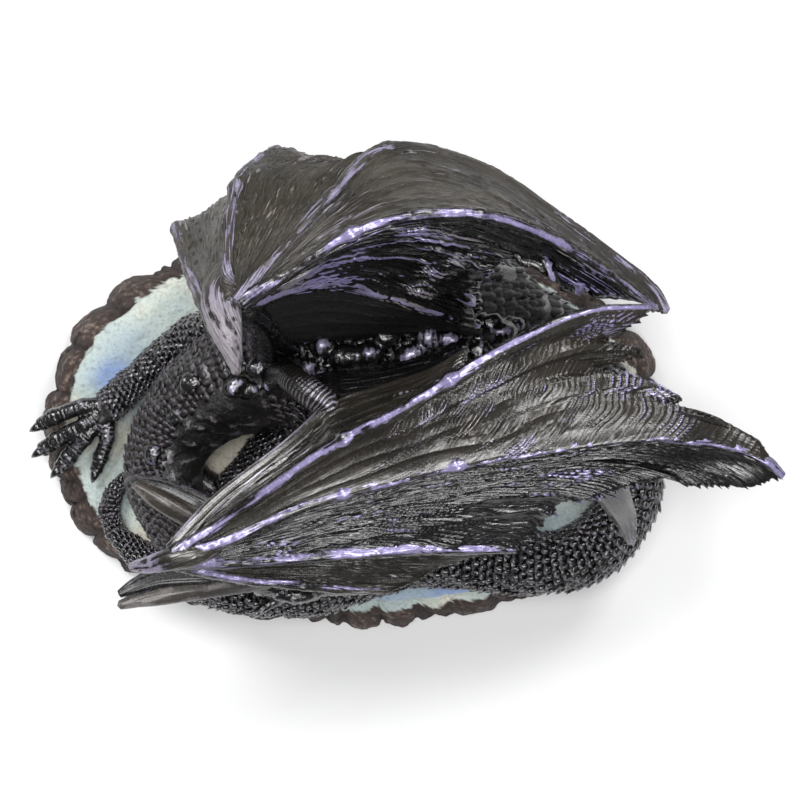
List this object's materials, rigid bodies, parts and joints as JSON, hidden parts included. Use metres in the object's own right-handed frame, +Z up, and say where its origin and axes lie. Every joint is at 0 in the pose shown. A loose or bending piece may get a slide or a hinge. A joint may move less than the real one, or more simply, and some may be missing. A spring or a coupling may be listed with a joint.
{
  "type": "dragon statue",
  "caption": "Resin statue of a dragon curled up on an oval rock with a snowy top, one wing raised and one spread, for a shelf or mantelpiece.",
  "frame": {"origin": "centre of the rock's flat underside", "axes": "+Z up, +X along the rock's length towards the tail's bend and the tip of the spread wing, +Y towards the raised wing"},
  "size_m": [0.2764, 0.1795, 0.1558],
  "materials": {
    "dragon_resin": "cast resin painted black, satin, dry-brushed with lavender pearl on the ridges",
    "rock_resin": "cast resin, rim painted dark brown stone, top speckled cream and pale blue snow"
  },
  "bodies": {
    "root": {"dragon": "dragon_resin", "rock_base": "rock_resin"}
  },
  "joints": []
}
